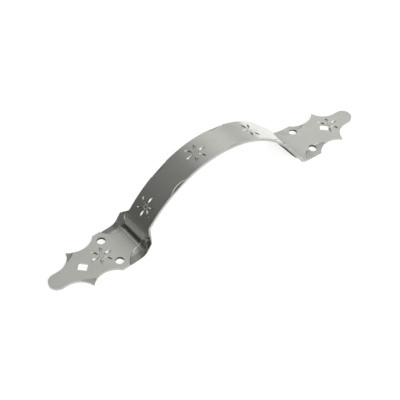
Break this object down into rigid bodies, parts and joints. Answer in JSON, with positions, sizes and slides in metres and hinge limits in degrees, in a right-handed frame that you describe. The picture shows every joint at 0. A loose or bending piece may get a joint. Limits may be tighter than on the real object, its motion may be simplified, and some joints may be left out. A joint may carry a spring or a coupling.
{
  "type": "bow handle",
  "caption": "Bow-shaped pull handle of bent sheet steel with scalloped fixing plates, screw holes, square bolt holes and a row of stamped flowers.",
  "frame": {"origin": "midway between the two plates, on the centre line, in the plane of the plates' backs", "axes": "+X along the handle, +Y across it, +Z away from the door, with the bow on top"},
  "size_m": [0.23, 0.0304, 0.0437],
  "materials": {
    "zinc_steel": "bright zinc plate, satin"
  },
  "bodies": {
    "root": {"bow_handle": "zinc_steel"}
  },
  "joints": []
}
